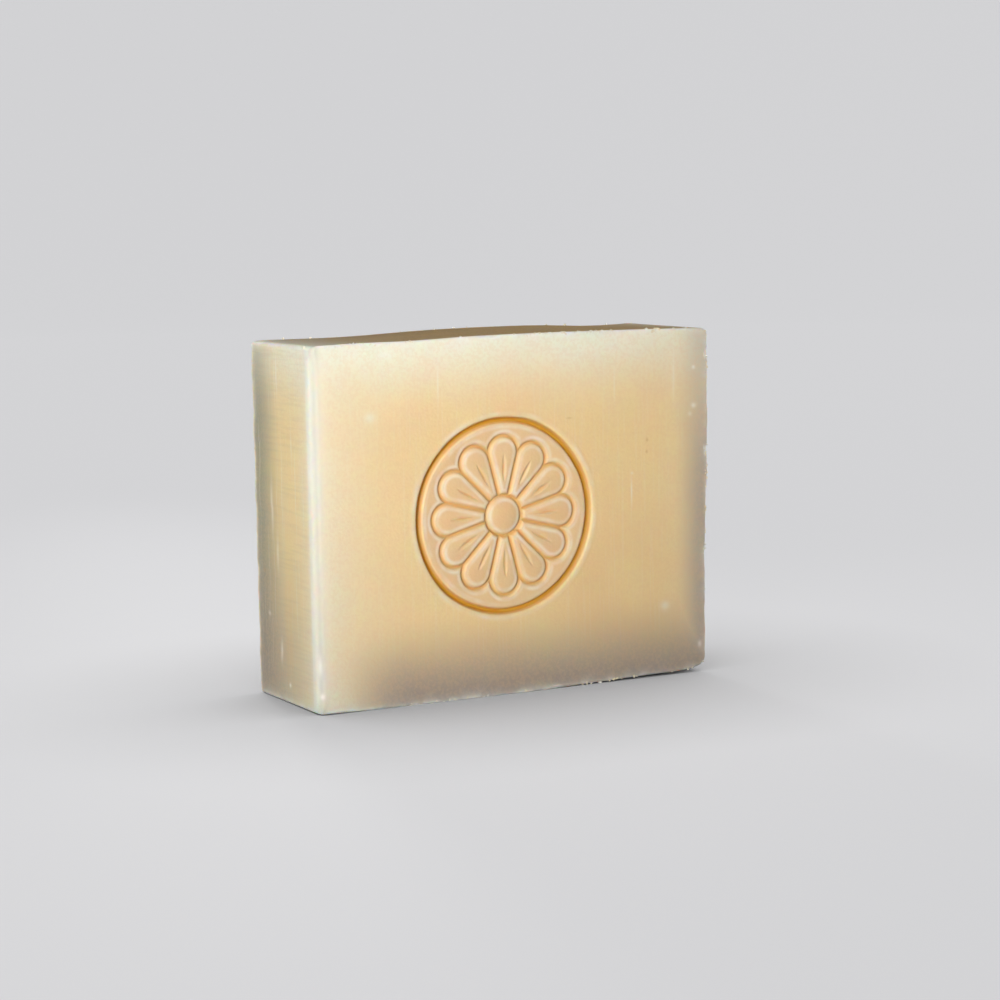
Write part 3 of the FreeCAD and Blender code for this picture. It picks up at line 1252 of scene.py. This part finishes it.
    def sheen(self, marks: dict[Mark, Field]) -> bpy.types.NodeSocket:
        """Roughness: waxy, drier at the edges and on the mould's walls."""
        drier = marks[Mark.PALE] * self.pale_roughness + marks[Mark.WALL] * self.wall_roughness
        return (drier + self.roughness).socket

    def relief(self, tree: ShaderTree, marks: dict[Mark, Field]) -> bpy.types.NodeSocket:
        """Fine relief: grain on the cut faces and the mould's flat ripples on its walls.

        Args:
            tree: the material's tree.
            marks: the mesh's marks.

        Returns:
            The bent normal for the shader.
        """
        ripple = self.ripple.raw(tree) * self.ripple_height * marks[Mark.WALL]
        height = self.grain.raw(tree) * self.grain_height + ripple
        bump = tree.node("ShaderNodeBump")
        bump.inputs["Strength"].default_value = self.relief_share
        bump.inputs["Distance"].default_value = self.relief_depth
        tree.link(height.socket, bump.inputs["Height"])
        return bump.outputs[0]


@dataclass
class SoapBar:
    """The whole bar: the block with its stamp, standing for the CAD node."""

    block: Block
    stamp: Stamp
    finish: SoapFinish
    bites: tuple[Bite, ...] = (
        Bite((-6.6, -12.7, 63.3), (0.0, -1.0, 1.2), 1.5, 0.5),
        Bite((-4.5, -12.7, 63.3), (0.0, -1.0, 1.2), 1.9, 0.55),
        Bite((38.9, -12.6, 58.1), (1.0, -1.0, 0.0), 0.9, 0.35),
        Bite((38.8, -12.6, 40.6), (1.0, -1.0, 0.0), 1.1, 0.4),
        Bite((7.6, -12.7, 0.0), (0.0, -1.0, -0.5), 1.3, 0.4),
        Bite((-39.1, 12.6, 50.3), (-1.0, 1.0, 0.0), 1.2, 0.35),
        Bite((22.1, 12.7, 62.9), (0.0, 1.0, 1.0), 1.8, 0.5),
    )

    def build(self) -> bpy.types.Object:
        """Makes, stamps and dresses the bar.

        Returns:
            The finished piece, which rides on the root body.
        """
        name = "soap_block"
        mesh = self.block.blank(name, self.stamp)
        points = np.empty(len(mesh.vertices) * 3)
        mesh.vertices.foreach_get("co", points)
        points = points.reshape(-1, 3)
        marks = self.block.marks(points)
        self.block.round_rims(points)
        self.block.bend(points)
        self.block.rub_corner(points)
        marks[Mark.FRESH] = np.max([bite.take(points) for bite in self.bites], axis=0)
        points[:, 2] -= points[:, 2].min()
        mesh.vertices.foreach_set("co", (points * MM).ravel())
        for mark, values in marks.items():
            mesh.attributes.new(mark.value, "FLOAT", "POINT").data.foreach_set("value", values)
        mesh.polygons.foreach_set("use_smooth", [True] * len(mesh.polygons))
        mesh.update()
        piece = bpy.data.objects.new(name, mesh)
        bpy.context.collection.objects.link(piece)
        self.stamp.press(piece, self.finish.material(), -self.block.half_depth)
        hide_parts(NODE)
        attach(piece, "root")
        return piece


@dataclass(frozen=True)
class FlakeFinish:
    """Dry flakes of soap: nearly white, some of them yellower."""

    white: Colour = screen_colour(236, 232, 218)
    yellow: Colour = screen_colour(236, 222, 188)
    patch: Texture = Texture((2.5, 2.5, 2.5), 31.0, Run(0.35, 0.65))
    roughness: float = 0.7
    gloss: float = 0.3
    ior: float = 1.45

    def material(self) -> bpy.types.Material:
        """Builds the finish.

        Returns:
            The material, which changes from flake to flake.
        """
        tree = ShaderTree("soap_flakes")
        colour = tree.blend(self.patch.field(tree), self.white, self.yellow)
        tree.link(colour, tree.shader.inputs["Base Color"])
        tree.settle(Roughness=self.roughness, IOR=self.ior, Specular_IOR_Level=self.gloss)
        return tree.material


@dataclass
class Crumbs:
    """The flakes that the cutting wire left along the block's edges, in millimetres."""

    finish: FlakeFinish
    limit: tuple[Vector, Vector]
    each_mm2: float = 2.6
    smallest: float = 0.07
    largest: float = 0.34
    flatness: float = 0.55
    patches: Texture = Texture((6.0, 6.0, 6.0), 41.0, Run(0.42, 0.62, 0.08, 1.0))
    thinning_back: Run = Run(2.0, -8.0, 0.35, 1.0)
    thinning_left: Run = Run(-38.6, -37.5, 0.1, 1.0)
    rim: Run = Run(0.45, 0.8)
    planed: Run = Run(0.3, 0.1)
    dents: Texture = Texture((0.9, 0.9, 0.9), 43.0)
    dent_depth: float = 0.9
    fineness: int = 2
    seed: int = 5

    def build(self, block: bpy.types.Object) -> bpy.types.Object:
        """Scatters the flakes over a copy of the block, of which only they are kept.

        Args:
            block: the finished block, whose edges carry them.

        Returns:
            The finished piece, which rides on the root body.
        """
        name = "soap_crumbs"
        piece = bpy.data.objects.new(name, block.data.copy())
        bpy.context.collection.objects.link(piece)
        sizes = {"Each Square Millimetre": self.each_mm2, "Smallest": self.smallest,
                 "Largest": self.largest, "Flatness": self.flatness}
        tree = GeometryTree("scatter_crumbs", sizes)
        self.lay_out(tree)
        tree.run_on(piece, self.finish.material(), sizes)
        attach(piece, "root")
        return piece

    def lay_out(self, tree: GeometryTree) -> None:
        """Writes the scatter as nodes: points on the edges, a flake on each, all held in the box.

        Args:
            tree: the tree, with one input for each size.
        """
        size = tree.sizes
        x, y, _ = tree.place_mm()
        patches = self.patches.field(tree)
        patches = patches * self.thinning_back.over(y) * self.thinning_left.over(x)
        on_edge = self.rim.over(tree.read(Mark.RIM.value))
        on_edge = on_edge * self.planed.over(tree.read(Mark.PLANED.value))
        points = tree.node("GeometryNodeDistributePointsOnFaces", distribute_method="RANDOM")
        tree.link(tree.source.outputs["Geometry"], points.inputs["Mesh"])
        tree.link((size["Each Square Millimetre"] * on_edge * patches / MM ** 2).socket,
                  points.inputs["Density"])
        points.inputs["Seed"].default_value = self.seed

        ball = tree.node("GeometryNodeMeshIcoSphere")
        ball.inputs["Radius"].default_value = MM
        ball.inputs["Subdivisions"].default_value = self.fineness
        dent = (self.dents.raw(tree) - 0.5) * self.dent_depth
        normal = tree.node("GeometryNodeInputNormal").outputs[0]
        flake = tree.move(ball.outputs["Mesh"], dent * 0.0 + 1.0, normal, dent)

        turn = tree.node("FunctionNodeRandomValue", data_type="FLOAT_VECTOR")
        turn.inputs["Max"].default_value = [math.tau] * 3
        turn.inputs["Seed"].default_value = self.seed + 1
        scale = tree.node("FunctionNodeRandomValue", data_type="FLOAT")
        scale.inputs["Seed"].default_value = self.seed + 2
        scale_low, scale_high = (socket for socket in scale.inputs
                                 if socket.name in ("Min", "Max") and socket.enabled)
        tree.link(size["Smallest"].socket, scale_low)
        tree.link(size["Largest"].socket, scale_high)
        across = Field(tree.tree, next(socket for socket in scale.outputs if socket.enabled))
        shape = tree.node("ShaderNodeCombineXYZ")
        for socket, share in zip(shape.inputs, (across, across, across * size["Flatness"])):
            tree.link(share.socket, socket)
        spread = tree.node("GeometryNodeInstanceOnPoints")
        tree.link(points.outputs["Points"], spread.inputs["Points"])
        tree.link(flake, spread.inputs["Instance"])
        tree.link(turn.outputs[0], spread.inputs["Rotation"])
        tree.link(shape.outputs[0], spread.inputs["Scale"])
        real = tree.node("GeometryNodeRealizeInstances")
        tree.link(spread.outputs[0], real.inputs["Geometry"])
        tree.close(self.hold(tree, real.outputs[0]))

    def hold(self, tree: GeometryTree, geometry: bpy.types.NodeSocket) -> bpy.types.NodeSocket:
        """Presses the flakes flat where they would stick out of the limits.

        Args:
            tree: the tree.
            geometry: the realised flakes.

        Returns:
            The flakes inside the limits.
        """
        low, high = self.limit
        above = tree.node("ShaderNodeVectorMath", operation="MAXIMUM")
        tree.link(tree.place(), above.inputs[0])
        above.inputs[1].default_value = low
        within = tree.node("ShaderNodeVectorMath", operation="MINIMUM")
        tree.link(above.outputs[0], within.inputs[0])
        within.inputs[1].default_value = high
        pressed = tree.node("GeometryNodeSetPosition")
        tree.link(geometry, pressed.inputs["Geometry"])
        tree.link(within.outputs[0], pressed.inputs["Position"])
        return pressed.outputs[0]


@dataclass(frozen=True)
class PaleSurface:
    """Matt paper, seen paler than it lights; its pale veil fades where the bar stands over it, a
    painted contact shadow.
    """

    tone: Colour = screen_colour(84, 83, 82)
    veil: Colour = screen_colour(209, 209, 211)
    shade_reach: float = 0.06
    roughness: float = 0.9
    gloss: float = 0.1

    def material(self) -> bpy.types.Material:
        """Builds the finish.

        Returns:
            The material; what bounces light on to the bar is the tone alone.
        """
        tree = ShaderTree("pale_paper")
        path = tree.node("ShaderNodeLightPath")
        seen = Field(tree.tree, path.outputs["Is Camera Ray"])
        for ray in ("Is Glossy Ray", "Is Transmission Ray"):
            seen = seen.at_least(Field(tree.tree, path.outputs[ray]))
        tree.settle(Base_Color=self.tone, Roughness=self.roughness, Specular_IOR_Level=self.gloss,
                    Emission_Color=self.veil)
        shade = tree.node("ShaderNodeAmbientOcclusion", samples=1)
        shade.inputs["Distance"].default_value = self.shade_reach
        open_sky = Field(tree.tree, shade.outputs["AO"])
        tree.link((seen * open_sky).socket, tree.shader.inputs["Emission Strength"])
        return tree.material


def towards(azimuth: float, elevation: float) -> Vector:
    """The direction out to a place seen at an angle from the front, in degrees."""
    turn, rise = math.radians(azimuth), math.radians(elevation)
    return Vector((math.sin(turn) * math.cos(rise), -math.cos(turn) * math.cos(rise), math.sin(rise)))


@dataclass(frozen=True)
class Lamp:
    """A soft lamp, placed by angle round the point that it is aimed at, in metres."""

    name: str
    azimuth: float
    elevation: float
    distance: float
    size: float
    power: float
    aim: tuple[float, float, float]
    spread: float = 180.0

    def light(self) -> None:
        """Hangs the lamp and turns it to its aim."""
        away = towards(self.azimuth, self.elevation)
        data = bpy.data.lights.new(self.name, "AREA")
        data.shape = "DISK"
        data.size = self.size
        data.energy = self.power
        data.spread = math.radians(self.spread)
        lamp = bpy.data.objects.new(self.name, data)
        lamp.visible_camera = False
        lamp.location = Vector(self.aim) + away * self.distance
        lamp.rotation_euler = (-away).to_track_quat("-Z", "Y").to_euler()
        bpy.context.collection.objects.link(lamp)


@dataclass
class Studio:
    """A pale bowl of a floor, soft lamps and the photograph's camera, in metres."""

    paper: PaleSurface = PaleSurface()
    sky_colour: Colour = screen_colour(214, 214, 216)
    sky_strength: float = 0.16
    flat_radius: float = 1.1
    bend_radius: float = 0.5
    rings: tuple[float, ...] = (0.05, 0.2, 0.5, 1.0)
    bend_steps: int = 16
    sides: int = 96
    lamps: tuple[Lamp, ...] = (
        Lamp("key", -42.0, 6.0, 0.45, 0.16, 0.099, (-0.040, -0.0127, 0.056), 30.0),
        Lamp("glow", -14.0, 14.0, 0.45, 0.14, 0.018, (0.014, -0.0127, 0.080), 30.0),
        Lamp("side", -95.0, 4.0, 0.45, 0.12, 0.005, (-0.039, -0.006, 0.022), 30.0),
        Lamp("back", 172.0, 9.0, 0.45, 0.1, 0.05, (0.0, 0.0127, 0.038), 30.0),
        Lamp("right", 99.0, 9.0, 0.45, 0.1, 0.033, (0.039, 0.0, 0.038), 30.0),
        Lamp("top", 180.0, 82.0, 0.45, 0.2, 0.014, (0.0, 0.0, 0.063), 40.0),
        Lamp("fill", 66.0, 20.0, 0.9, 0.5, 0.24, (0.0, 0.0, 0.03)),
    )
    target: Vector = Vector((0.003097, 0.0, 0.03272))
    view_azimuth: float = -28.22
    view_elevation: float = 6.95
    view_roll: float = -0.84
    view_distance: float = 0.4842
    focal_pixels: float = 2698.3
    frame_pixels: float = 1000.0
    sensor: float = 36.0
    nearest: float = 0.01
    farthest: float = 20.0

    def floor(self) -> None:
        """A flat floor whose edge curves up all round, so that no horizon shows."""
        profile = [(self.flat_radius * share, 0.0) for share in self.rings]
        for step in range(1, self.bend_steps + 1):
            turn = math.pi / 2 * step / self.bend_steps
            profile.append((self.flat_radius + self.bend_radius * math.sin(turn),
                            self.bend_radius * (1 - math.cos(turn))))
        points = [(0.0, 0.0, 0.0)]
        for radius, height in profile:
            for side in range(self.sides):
                turn = 2 * math.pi * side / self.sides
                points.append((radius * math.cos(turn), radius * math.sin(turn), height))
        faces: list[tuple[int, ...]] = []
        for side in range(self.sides):
            after = (side + 1) % self.sides
            faces.append((0, 1 + side, 1 + after))
            for ring in range(len(profile) - 1):
                inner = 1 + ring * self.sides
                outer = inner + self.sides
                faces.append((inner + side, outer + side, outer + after, inner + after))
        mesh = bpy.data.meshes.new("floor")
        mesh.from_pydata(points, [], faces)
        mesh.polygons.foreach_set("use_smooth", [True] * len(faces))
        mesh.materials.append(self.paper.material())
        floor = bpy.data.objects.new("floor", mesh)
        bpy.context.collection.objects.link(floor)

    def sky(self) -> None:
        """Plain pale light from all round."""
        world = bpy.data.worlds.new("sky")
        world.use_nodes = True
        background = world.node_tree.nodes["Background"]
        background.inputs["Color"].default_value = self.sky_colour
        background.inputs["Strength"].default_value = self.sky_strength
        bpy.context.scene.world = world

    def camera(self) -> None:
        """The camera at the photograph's place."""
        turn, roll = math.radians(self.view_azimuth), math.radians(self.view_roll)
        back = towards(self.view_azimuth, self.view_elevation)
        right = Vector((math.cos(turn), math.sin(turn), 0.0))
        up = back.cross(right)
        rolled_right = right * math.cos(roll) + up * math.sin(roll)
        rolled_up = up * math.cos(roll) - right * math.sin(roll)
        data = bpy.data.cameras.new("camera")
        data.sensor_width = self.sensor
        data.lens = self.sensor * self.focal_pixels / self.frame_pixels
        data.clip_start, data.clip_end = self.nearest, self.farthest
        camera = bpy.data.objects.new("camera", data)
        place = Matrix((rolled_right, rolled_up, back)).transposed().to_4x4()
        place.translation = self.target + back * self.view_distance
        camera.matrix_world = place
        bpy.context.collection.objects.link(camera)
        bpy.context.scene.camera = camera

    def build(self) -> None:
        """Sets up the floor, the light and the camera."""
        self.floor()
        self.sky()
        for lamp in self.lamps:
            lamp.light()
        self.camera()
        bpy.context.scene.view_settings.view_transform = "Standard"


def report(piece: bpy.types.Object) -> None:
    """Logs a finished piece's name and how many triangles it has."""
    piece.data.calc_loop_triangles()
    log.info("%s: %d triangles", piece.name, len(piece.data.loop_triangles))


def main() -> None:
    """Builds the bar and the studio."""
    logging.basicConfig(level=logging.INFO, format="%(message)s")
    low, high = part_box(NODE)
    block = Block(
        half_width=high[0] / MM, half_depth=high[1] / MM,
        side_height=high[2] / MM - Block.crown_rise,
    )
    bar = SoapBar(block, Stamp(), SoapFinish()).build()
    report(bar)
    report(Crumbs(FlakeFinish(), (Vector(low), Vector(high))).build(bar))
    Studio().build()


if __name__ == "__main__":
    main()
